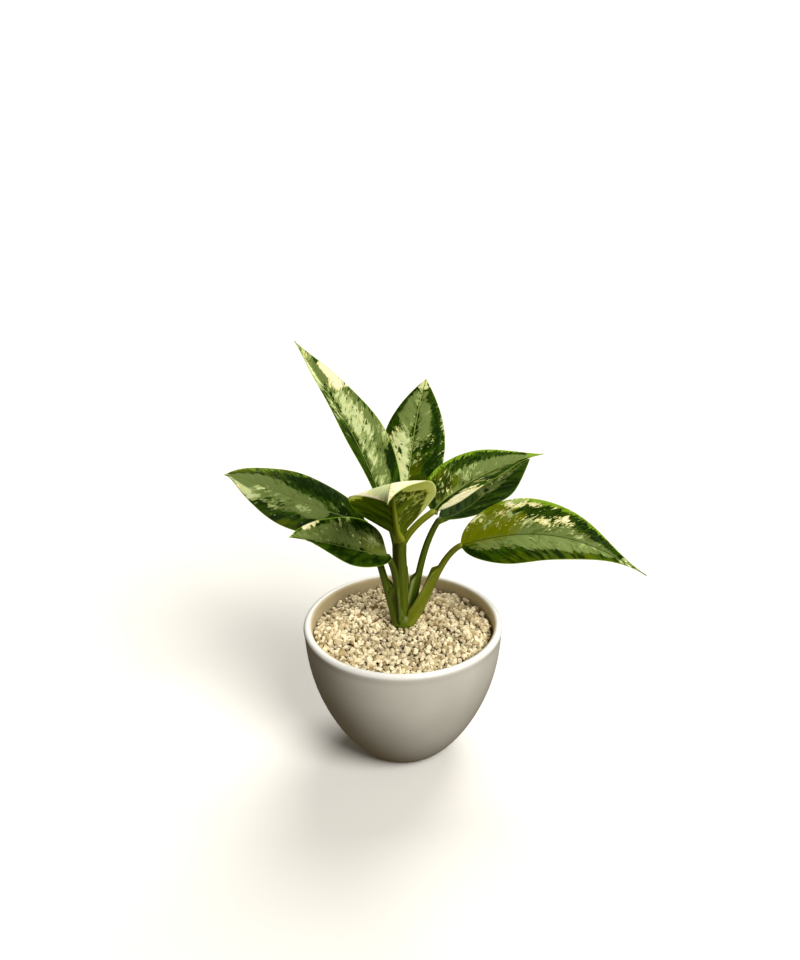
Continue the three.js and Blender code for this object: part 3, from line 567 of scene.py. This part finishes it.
def mix_material():
    """Damp potting mix: dark peat in lumps of 5 mm with lighter flecks of bark 2.2 mm across."""
    material, tree, output = start_material("potting_mix_peat_and_bark")
    coords = add(tree, "TexCoord", out=3)
    lumps = add(tree, "TexNoise", {"Vector": coords, "Scale": 1 / (5 * MM), "Detail": 6.0, "Roughness": 0.7})
    bits = add(tree, "TexVoronoi", {"Vector": coords, "Scale": 1 / (2.2 * MM)})
    tone = add(tree, "MapRange", {"Value": lumps, "From Min": 0.35, "From Max": 0.65})
    colour = add(tree, "Mix", {0: tone, 6: linear("#1f150e"), 7: linear("#4b3625")}, **COLOUR_MIX)
    fleck = add(tree, "MapRange", {"Value": bits, "From Min": 0.22, "From Max": 0.12, "To Max": 0.5})
    colour = add(tree, "Mix", {0: fleck, 6: colour, 7: linear("#8a6f4c")}, **COLOUR_MIX)
    bump = add(tree, "Bump", {"Height": lumps, "Strength": 0.8, "Distance": 1.2 * MM})
    shader = add(tree, "BsdfPrincipled", {"Base Color": colour, "Roughness": 0.92, "Normal": bump})
    tree.links.new(shader, output.inputs["Surface"])
    return material


def floor_material():
    """Pale matt studio floor."""
    material, tree, output = start_material("studio_floor_matt")
    shader = add(tree, "BsdfPrincipled", {"Base Color": linear("#e4e2dd"), "Roughness": 0.9})
    tree.links.new(shader, output.inputs["Surface"])
    return material


# Pot and what fills it

def pot_radius(height):
    """Outside radius: foot + (rim - foot) * (1 - (1 - height share) ^ belly) ^ (1 / shoulder)."""
    share = np.asarray(height, float) / POT_HEIGHT
    return FOOT_RADIUS + (RIM_RADIUS - FOOT_RADIUS) * (1 - (1 - share) ** BELLY) ** (1 / SHOULDER)


def radius_within(depth, height):
    """Radius of the surface at a depth under the outer face, measured square to it."""
    slope = pot_radius(height + 0.5) - pot_radius(height - 0.5)
    return pot_radius(height) - depth * np.hypot(1, slope)


def turned(profile, sides):
    """Points of a profile turned round the Z axis: radius * cos, radius * sin, height."""
    angle = np.linspace(0, 2 * np.pi, sides, endpoint=False)
    radius, height = np.asarray(profile, float).T
    x = radius[:, None] * np.cos(angle)
    y = radius[:, None] * np.sin(angle)
    z = np.broadcast_to(height[:, None], x.shape)
    return np.stack([x, y, z], -1).reshape(-1, 3)


def turned_faces(rows, sides):
    """Faces of a turned profile whose ends close in a fan round their first and last ring."""
    quads = grid_faces(rows, sides, closed=True)
    first = list(range(sides))[::-1]
    last = list(range((rows - 1) * sides, rows * sides))
    return [list(q) for q in quads] + [first, last]


def make_pot(material):
    """The bowl: up its outer face, over a round lip and down its inner face to the floor.

    Under the lip the outer face is drawn in by LIP_BEAD * (1 - exp(-(drop / 2.2) ^ 2)) *
    (0.5 + 0.5 * tanh((height - 80) / 12)), where drop is the height down from the lip's middle.
    """
    lip = WALL / 2
    shoulder = POT_HEIGHT - lip
    rise = 2 + (shoulder - 2) * np.linspace(0, 1, 46) ** 1.15
    drawn_in = 0.5 + 0.5 * np.tanh((rise - 80) / 12)
    bead = LIP_BEAD * (np.exp(-((rise - shoulder) / 2.2) ** 2) - 1) * drawn_in
    outside = np.stack([radius_within(0, rise) + bead, rise], -1)
    drop = np.linspace(shoulder, FLOOR + 4, 34)
    inside = np.stack([radius_within(WALL, drop), drop], -1)
    angle = np.radians(np.linspace(0, 180, 13))[1:-1]
    middle = (outside[-1, 0] + inside[0, 0]) / 2
    half = (outside[-1, 0] - inside[0, 0]) / 2
    top = np.stack([middle + half * np.cos(angle), shoulder + lip * np.sin(angle)], -1)
    turn = np.radians(np.linspace(0, 90, 7))[1:]
    corner = np.stack([inside[-1, 0] - 4 * np.sin(turn), FLOOR + 4 * np.cos(turn)], -1)
    foot = np.array([
        [FOOT_RADIUS - 4, 0], [FOOT_RADIUS - 0.6, 0], [FOOT_RADIUS, 0.25], [radius_within(0, 1.0), 1.0],
    ])
    profile = np.concatenate([foot, outside, top, inside, corner])
    pot = make_piece("pot_bowl", turned(profile, POT_SIDES), turned_faces(len(profile), POT_SIDES), material,
                     node="pot")
    cut_drain_holes(pot)
    return pot


def cut_drain_holes(pot):
    """Cuts round holes through the floor, evenly on a circle round the middle."""
    for number in range(DRAIN_COUNT):
        turn = math.radians(45 + 360 / DRAIN_COUNT * number)
        x, y = DRAIN_CIRCLE * math.cos(turn), DRAIN_CIRCLE * math.sin(turn)
        profile = [(DRAIN_RADIUS, -FLOOR), (DRAIN_RADIUS, 2 * FLOOR)]
        points = turned(profile, 40) + np.array([x, y, 0])
        mesh = bpy.data.meshes.new("drain")
        mesh.from_pydata((points * MM).tolist(), [], turned_faces(2, 40))
        drill = bpy.data.objects.new("drain", mesh)
        bpy.context.scene.collection.objects.link(drill)
        cut = pot.modifiers.new("drain", "BOOLEAN")
        cut.operation = "DIFFERENCE"
        cut.solver = "EXACT"
        cut.object = drill
        bpy.context.view_layer.update()
        done = bpy.data.meshes.new_from_object(pot.evaluated_get(bpy.context.evaluated_depsgraph_get()))
        pot.modifiers.clear()
        pot.data = done
        bpy.data.objects.remove(drill)


def stones_height(radius):
    """Height of the chips' surface: a mound that falls with the square of the radius."""
    share = radius / (RIM_RADIUS - WALL)
    return STONES_AT_CROWN - (STONES_AT_CROWN - STONES_AT_WALL) * share ** 2


def make_chips(material):
    """Loose chips in jittered hexagonal layers, each a lump of eight corners and six bosses.

    Corner = 0.8 * (+-1, +-1, +-1) and boss = 1.3 * the middle of a side, each times the chip's
    three half sizes and a pull of its own, then turned by a random rotation. The layers sway up
    and down by 0.8 * sin * cos and 0.5 * sin of the place. Depth under the mound's top is kept at
    every corner, so that painted shade darkens a chip down into its gaps.
    """
    corners = [(a, b, c) for a in (-0.8, 0.8) for b in (-0.8, 0.8) for c in (-0.8, 0.8)]
    sides = [(0, 1, 3, 2), (4, 6, 7, 5), (0, 4, 5, 1), (2, 3, 7, 6), (0, 2, 6, 4), (1, 5, 7, 3)]
    bosses = [1.3 * np.mean([corners[i] for i in side], axis=0) for side in sides]
    corners = np.array(corners + bosses)
    each = len(corners)
    trios = [(side[i], side[(i + 1) % 4], 8 + n) for n, side in enumerate(sides) for i in range(4)]
    places = []
    for layer in range(CHIP_LAYERS):
        column, row = np.meshgrid(np.arange(-28, 29), np.arange(-32, 33))
        x = (column + 0.5 * (row % 2) + 0.33 * layer) * CHIP_STEP
        y = (row + 0.4 * layer) * CHIP_STEP * math.sqrt(0.75)
        x = x + RANDOM.uniform(-CHIP_JITTER, CHIP_JITTER, x.shape) * CHIP_STEP
        y = y + RANDOM.uniform(-CHIP_JITTER, CHIP_JITTER, x.shape) * CHIP_STEP
        radius = np.hypot(x, y)
        sway = 0.8 * np.sin(x / 9 + 1) * np.cos(y / 11) + 0.5 * np.sin((x + y) / 5)
        level = stones_height(radius) - 1.0 - CHIP_LAYER_DROP * layer + sway
        z = level + RANDOM.uniform(*CHIP_HEIGHTS, x.shape)
        spot = np.stack([x, y, z], -1)
        keep = radius < radius_within(WALL, z) - 0.45 * CHIP
        keep &= np.hypot(x - CROWN[0], y - CROWN[1]) > CANE_RADIUS + 0.2 * CHIP
        places.append(spot[keep])
    places = np.concatenate(places)
    count = len(places)
    size = CHIP / 2 * RANDOM.uniform(*CHIP_SIZES, (count, 1, 1))
    size = size * RANDOM.uniform(*CHIP_SHAPES, (count, 1, 3))
    pull = RANDOM.uniform(*CHIP_PULLS, (count, each, 3))
    shapes = corners[None] * pull * size
    axes = RANDOM.normal(size=(count, 4))
    w, x, y, z = (axes / np.linalg.norm(axes, axis=1, keepdims=True)).T
    turn = np.stack([
        1 - 2 * (y * y + z * z), 2 * (x * y - z * w), 2 * (x * z + y * w),
        2 * (x * y + z * w), 1 - 2 * (x * x + z * z), 2 * (y * z - x * w),
        2 * (x * z - y * w), 2 * (y * z + x * w), 1 - 2 * (x * x + y * y),
    ], -1).reshape(count, 3, 3)
    points = np.einsum("nij,nkj->nki", turn, shapes) + places[:, None]
    faces = (np.array(trios)[None] + each * np.arange(count)[:, None, None]).reshape(-1, 3)
    points = points.reshape(-1, 3)
    shade = np.repeat(RANDOM.beta(1.9, 1.2, count), each)
    depth = stones_height(np.hypot(points[:, 0], points[:, 1])) - points[:, 2]
    return make_piece("stone_chips_loose", points, faces, material, node="stone_chips",
                      smooth=False, fields={"shade": shade, "depth": depth})


def make_chip_bed(material):
    """The chips further down, as one mound out to the wall: it shows only in the gaps, where its colour is
    the painted shade of the gaps.

    Height = the chips' surface - 5.5 + 0.5 * sin(1.7 x) * sin(1.9 y).
    """
    rows, sides = 60, 180
    share = np.linspace(1, 0.001, rows)
    angle = np.linspace(0, 2 * np.pi, sides, endpoint=False)
    edge = radius_within(WALL + 0.4, STONES_AT_WALL - 5)
    x = edge * share[:, None] * np.cos(angle)
    y = edge * share[:, None] * np.sin(angle)
    z = stones_height(np.hypot(x, y)) - 5.5 + 0.5 * np.sin(x * 1.7) * np.sin(y * 1.9)
    top = np.stack([x, y, z], -1).reshape(-1, 3)
    base = np.stack([x[0], y[0], np.full(sides, STONES_AT_WALL - 9.0)], -1)
    points = np.concatenate([base, top])
    faces = turned_faces(rows + 1, sides)
    count = len(points)
    # Its depth of 6 mm gives the whole bed the painted shade of the gaps
    return make_piece("stone_chips_bed", points, faces, material,
                      fields={"shade": np.full(count, 0.2), "depth": np.full(count, 6.0)})


# The plant

def bezier(points, t):
    """Point and direction of a cubic Bezier curve at shares t."""
    p0, p1, p2, p3 = np.asarray(points, float)
    t = t[:, None]
    u = 1 - t
    point = u ** 3 * p0 + 3 * u * u * t * p1 + 3 * u * t * t * p2 + t ** 3 * p3
    way = u * u * (p1 - p0) + 2 * u * t * (p2 - p1) + t * t * (p3 - p2)
    return point, way / np.linalg.norm(way, axis=1, keepdims=True)


def frame_along(points, face, t, turn=0.0):
    """Point, direction, the way the upper face looks, and the right-hand way, along a curve.

    The upper way is the leaf's own one less its part along the curve, made a unit long, the right
    way is square to both, and turn then turns the two round the curve.
    """
    compass, rise = np.radians(face)
    look = np.array([np.cos(rise) * np.cos(compass), np.cos(rise) * np.sin(compass), np.sin(rise)])
    point, along = bezier(points, t)
    up = look - (along @ look)[:, None] * along
    up /= np.linalg.norm(up, axis=1, keepdims=True)
    right = np.cross(along, up)
    c, s = np.cos(turn), np.sin(turn)
    if np.ndim(turn):
        c, s = c[:, None], s[:, None]
    return point, along, c * up + s * right, c * right - s * up


def half_width(leaf, t):
    """Half the blade's width: t ^ base * (1 - t ^ place) ^ taper over its peak, at least its ends'."""
    base, place, taper = leaf["outline"]
    widest = base / (base + taper * place)
    peak = widest ** (base / place) * (1 - widest) ** taper
    shape = t ** base * (1 - t ** place) ** taper / peak
    least = np.where(t < 0.5, BLADE_BASE, BLADE_TIP)
    return np.maximum(leaf["width"] / 2 * shape, least)


def mark_fields(marks, t, v, length, width):
    """Each kind of mark as a field, the highest of its patches.

    With r = (|dt|^3 + |dv|^3)^(1/3) in shares of a patch's half sizes, and its smaller half size
    in mm, the patch is its amount * (0.5 + (1 - r) * half size / MARK_EDGE), held to 0..1.
    """
    fields = {kind: np.zeros(t.shape) for kind in ("olive",) + tuple(MARK_GRAIN)}
    for kind, amount, t0, t1, v0, v1 in marks:
        dt = np.abs(t - (t0 + t1) / 2) / ((t1 - t0) / 2)
        dv = np.abs(v - (v0 + v1) / 2) / ((v1 - v0) / 2)
        half_size = min((t1 - t0) / 2 * length, (v1 - v0) / 2 * width / 2)
        within = np.clip(0.5 + (1 - np.cbrt(dt ** 3 + dv ** 3)) * half_size / MARK_EDGE, 0, 1)
        fields[kind] = np.maximum(fields[kind], amount * within)
    return fields


def make_blade(name, leaf, number, material):
    """A blade: each half is an arc that leaves the midrib at the fold and bends by the camber.

    With bent = fold - camber * |v|, a point lies half width * (sin fold - sin bent) / camber out
    and half width * (cos bent - cos fold) / camber up. The margins ripple by a sine along the
    blade. Relief on it, square to the arc: a furrow over the midrib and a keel under it, both
    bell curves of the distance from it, and troughs along the side veins, a cosine cubed.
    """
    # Rows lie closer together at the ends, columns closer together at the midrib
    share = np.linspace(0, 1, BLADE_ROWS)
    t = 0.5 * share + 0.25 * (1 - np.cos(np.pi * share))
    spread = np.linspace(-1, 1, BLADE_COLUMNS)
    v = np.sign(spread) * (0.4 * np.abs(spread) + 0.6 * spread ** 2)
    side = np.where(v < 0, -1.0, 1.0)
    turn = np.radians(leaf["twist"]) * (t - 0.5)
    point, _, up, right = frame_along(leaf["midrib"], leaf["face"], t, turn)
    half = half_width(leaf, t)[:, None]
    camber = math.radians(leaf["camber"])
    left_fold, right_fold = np.radians(leaf["fold"])
    flatten = 1 + (leaf.get("fold_at_tip", 1.0) - 1) * t[:, None]
    fold = np.where(v < 0, left_fold, right_fold)[None] * flatten
    bent = fold - camber * np.abs(v)[None]
    out = half * side * (np.sin(fold) - np.sin(bent)) / camber
    lift = half * (np.cos(bent) - np.cos(fold)) / camber
    phase = 2 * np.pi * (RIPPLES * t[:, None] + 0.25 * side)
    lift = lift + RIPPLE * v ** 2 * np.sin(phase) * np.sin(np.pi * t[:, None])
    middle = point[:, None] + out[..., None] * right[:, None] + lift[..., None] * up[:, None]
    lean = np.where(v == 0, 0, np.sin(bent) * side)
    level = np.where(v == 0, 1, np.cos(bent))
    normal = level[..., None] * up[:, None] - lean[..., None] * right[:, None]

    steps = np.linalg.norm(np.diff(point, axis=0), axis=1)
    along = np.concatenate([[0], np.cumsum(steps)])[:, None] + 0 * v
    across = half * v
    out_mm = np.abs(across)
    vein = along - VEIN_SLANT * out_mm - VEIN_BOW * out_mm ** 2
    inner = np.clip(out_mm / 3, 0, 1) * np.clip((half - out_mm) / 4, 0, 1)
    trough = (0.5 + 0.5 * np.cos(2 * np.pi * vein / VEIN_STEP + 3 * (side > 0))) ** 3
    relief = -VEIN_DEPTH * trough * inner
    rib_width = 1.0 - 0.6 * t[:, None]
    furrow = FURROW * (1 - 0.6 * t[:, None]) * np.exp(-(out_mm / (0.8 * rib_width)) ** 2)
    stalk_end = leaf["radius"][1]
    near_base = np.exp(-t[:, None] / 0.08)
    keel = KEEL * (1 - 0.9 * t[:, None]) + (2 * stalk_end - KEEL - BLADE) * near_base
    keel = keel * np.exp(-(out_mm / (1.5 * rib_width + 1.3 * near_base)) ** 2)
    thick = BLADE / 2 * (1 - 0.5 * np.abs(v) ** 5)
    top = middle + ((thick + relief - furrow)[..., None]) * normal
    under = middle + ((relief - thick - keel)[..., None]) * normal

    rows, columns = t.size, v.size
    low = rows * columns
    border = np.concatenate([
        np.arange(columns), np.arange(1, rows) * columns + columns - 1,
        (rows - 1) * columns + np.arange(columns - 2, -1, -1), np.arange(rows - 2, 0, -1) * columns,
    ])
    after = np.roll(border, -1)
    rim = np.stack([after, border, border + low, after + low], -1)
    faces = np.concatenate([
        grid_faces(rows, columns), grid_faces(rows, columns, low, flip=True), rim,
    ])
    t_grid = np.broadcast_to(t[:, None], along.shape)
    v_grid = np.broadcast_to(v[None], along.shape)
    shared = {
        "across": across, "vein": vein, "edge": half - out_mm, "rib_tone": np.full(along.shape, leaf["rib"]),
        "tone": np.full(along.shape, leaf["tone"]),
        "seed": np.full(along.shape, 5.0 * number) + 2.5 * (v_grid > 0),
    }
    length, width = along[-1, 0], leaf["width"]
    # The upper face also takes the marks given for it alone, which on the front leaf are partly painted light
    upper = mark_fields(leaf["marks"] + leaf.get("upper_marks_and_painted_light", []), t_grid, v_grid, length, width)
    lower = mark_fields(leaf["marks"], t_grid, v_grid, length, width)
    upper.update(shared, rib=out_mm / RIB_LINE, under=np.zeros(along.shape))
    lower.update(shared, rib=out_mm / (0.9 + 1.5 * np.exp(-t_grid / 0.25)), under=np.ones(along.shape))
    fields = {key: np.concatenate([upper[key].ravel(), lower[key].ravel()]) for key in upper}
    points = np.concatenate([top.reshape(-1, 3), under.reshape(-1, 3)])
    return make_piece(name + "_blade", points, faces, material, node=name, fields=fields)


def stalk_rings(leaf):
    """Rings of one stalk: a tapering rod, hollowed above, with the two wings of its sheath.

    Radius at an angle from the upper side: taper * (1 - groove) + sheath height * a narrow peak
    at 45 degrees on either side, all turned by wrap * (1 - t^2) round the stalk. The last ring
    lies square to the blade's midrib.
    """
    t = np.linspace(0, 1, STALK_ROWS)
    end, end_along, end_up, end_right = frame_along(leaf["midrib"], leaf["face"], np.zeros(1))
    path = list(leaf["stalk"]) + [tuple(end[0])]
    wrap = math.radians(leaf.get("wrap", 0)) * (1 - t * t)
    point, _, up, right = frame_along(path, leaf["face"], t, wrap)
    point[-1] = end[0] + 0.8 * end_along[0]
    up[-1], right[-1] = end_up[0], end_right[0]
    angle = np.linspace(-np.pi, np.pi, STALK_SIDES, endpoint=False)
    thick, thin = leaf["radius"]
    taper = (thick + (thin - thick) * t)[:, None]
    top = leaf["sheath"]
    height = np.where(t < top, np.minimum(1, 4 * t / top), np.clip(1 - (t - top) / SHEATH_SLOPE, 0, 1))
    peak = np.exp(-((np.abs(angle) - math.pi / 4) / WING_WIDTH) ** 2)
    groove = GROOVE * np.exp(-(angle / GROOVE_WIDTH) ** 2)
    wing = SHEATH * height[:, None] * peak
    reach = taper * (1 - groove) + wing
    rings = point[:, None] + (reach * np.cos(angle))[..., None] * up[:, None] \
        + (reach * np.sin(angle))[..., None] * right[:, None]
    along = np.broadcast_to((t * STALK_LENGTH)[:, None], reach.shape)
    around = np.broadcast_to(angle * thick, reach.shape)
    return rings, along, around, wing / SHEATH


def make_stem(material):
    """The cane with every stalk grown onto it: a turned profile and a run of rings for each stalk."""
    points, faces, hue, along, around, wing = [], [], [], [], [], []
    start = 0
    for leaf in LEAVES.values():
        rings, length, girth, wings = stalk_rings(leaf)
        rows, sides = rings.shape[:2]
        faces += [list(f) for f in grid_faces(rows, sides, start, closed=True)]
        faces += [list(range(start, start + sides))[::-1]]
        faces += [list(range(start + (rows - 1) * sides, start + rows * sides))]
        points.append(rings.reshape(-1, 3))
        along.append(length.ravel())
        around.append(girth.ravel())
        wing.append(wings.ravel() * leaf.get("pale_wing", 0.35))
        hue.append(np.full(rows * sides, leaf["hue"]))
        start += rows * sides
    profile = [(0.01, CANE_FOOT), (CANE_RADIUS - 1, CANE_FOOT), (CANE_RADIUS, CANE_FOOT + 1),
               (CANE_RADIUS, 102), (CANE_RADIUS - 0.6, 105), (0.66 * CANE_RADIUS, 110.5), (0.01, 112)]
    cane = turned(profile, 48) + np.array([CROWN[0], CROWN[1], 0])
    faces += [[start + i for i in f] for f in turned_faces(len(profile), 48)]
    points.append(cane)
    along.append(cane[:, 2])
    around.append(cane[:, 0])
    wing.append(np.zeros(len(cane)))
    hue.append(np.full(len(cane), 0.3))
    fields = {"hue": np.concatenate(hue), "along": np.concatenate(along),
              "round": np.concatenate(around), "wing": np.concatenate(wing)}
    return make_piece("stem_and_stalks", np.concatenate(points), faces, material, node="stem",
                      fields=fields)


# Studio

def make_studio():
    """A pale floor, a broad soft light from the front right, one from behind, and the camera."""
    mesh = bpy.data.meshes.new("studio_floor")
    side = FLOOR_HALF
    corners = [(-side, -side, 0), (side, -side, 0), (side, side, 0), (-side, side, 0)]
    mesh.from_pydata(corners, [], [(0, 1, 2, 3)])
    mesh.materials.append(floor_material())
    floor = bpy.data.objects.new("studio_floor", mesh)
    # The floor throws no light back up onto the pot
    floor.visible_diffuse = False
    floor.visible_glossy = False
    bpy.context.scene.collection.objects.link(floor)

    world = bpy.data.worlds.new("studio_light")
    world.use_nodes = True
    tree = world.node_tree
    height = add(tree, "SeparateXYZ", {0: add(tree, "TexCoord")}, out=2)
    above = add(tree, "MapRange", {"Value": height, "From Min": -0.05, "From Max": 0.05})
    glow = add(tree, "Mix", {0: above, 6: linear(WORLD_BELOW), 7: linear(WORLD_ABOVE)}, **COLOUR_MIX)
    tree.links.new(glow, tree.nodes["Background"].inputs["Color"])
    bpy.context.scene.world = world

    for name, strength, softness, way in LIGHTS:
        light = bpy.data.lights.new(name, "SUN")
        light.energy = strength
        light.angle = math.radians(softness)
        light.color = LIGHT_COLOUR
        holder = bpy.data.objects.new(name, light)
        holder.rotation_euler = Vector(way).to_track_quat("-Z", "Y").to_euler()
        bpy.context.scene.collection.objects.link(holder)

    camera = bpy.data.cameras.new("camera")
    camera.sensor_width = SENSOR
    camera.lens = FOCAL_PIXELS * SENSOR / PICTURE_PIXELS
    camera.clip_start = 0.01
    camera.clip_end = 1000
    pitch, roll = math.radians(CAMERA_DOWN), math.radians(CAMERA_ROLL)
    forward = Vector((0, math.cos(pitch), -math.sin(pitch)))
    up = Vector((0, math.sin(pitch), math.cos(pitch)))
    right = Vector((1, 0, 0))
    rolled_right = math.cos(roll) * right + math.sin(roll) * up
    rolled_up = math.cos(roll) * up - math.sin(roll) * right
    matrix = Matrix((rolled_right, rolled_up, -forward)).transposed().to_4x4()
    matrix.translation = Vector(CAMERA_PLACE)
    holder = bpy.data.objects.new("camera", camera)
    holder.matrix_world = matrix
    bpy.context.scene.collection.objects.link(holder)
    bpy.context.scene.camera = holder
    bpy.context.scene.view_settings.view_transform = "Standard"


make_studio()
leaf_blade = leaf_material()
for number, (name, leaf) in enumerate(LEAVES.items()):
    make_blade(name, leaf, number, leaf_blade)
make_stem(stalk_material())
make_pot(glaze_material())
chips = chip_material()
make_chips(chips)
make_chip_bed(chips)
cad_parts["potting_mix"].data.materials.clear()
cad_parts["potting_mix"].data.materials.append(mix_material())
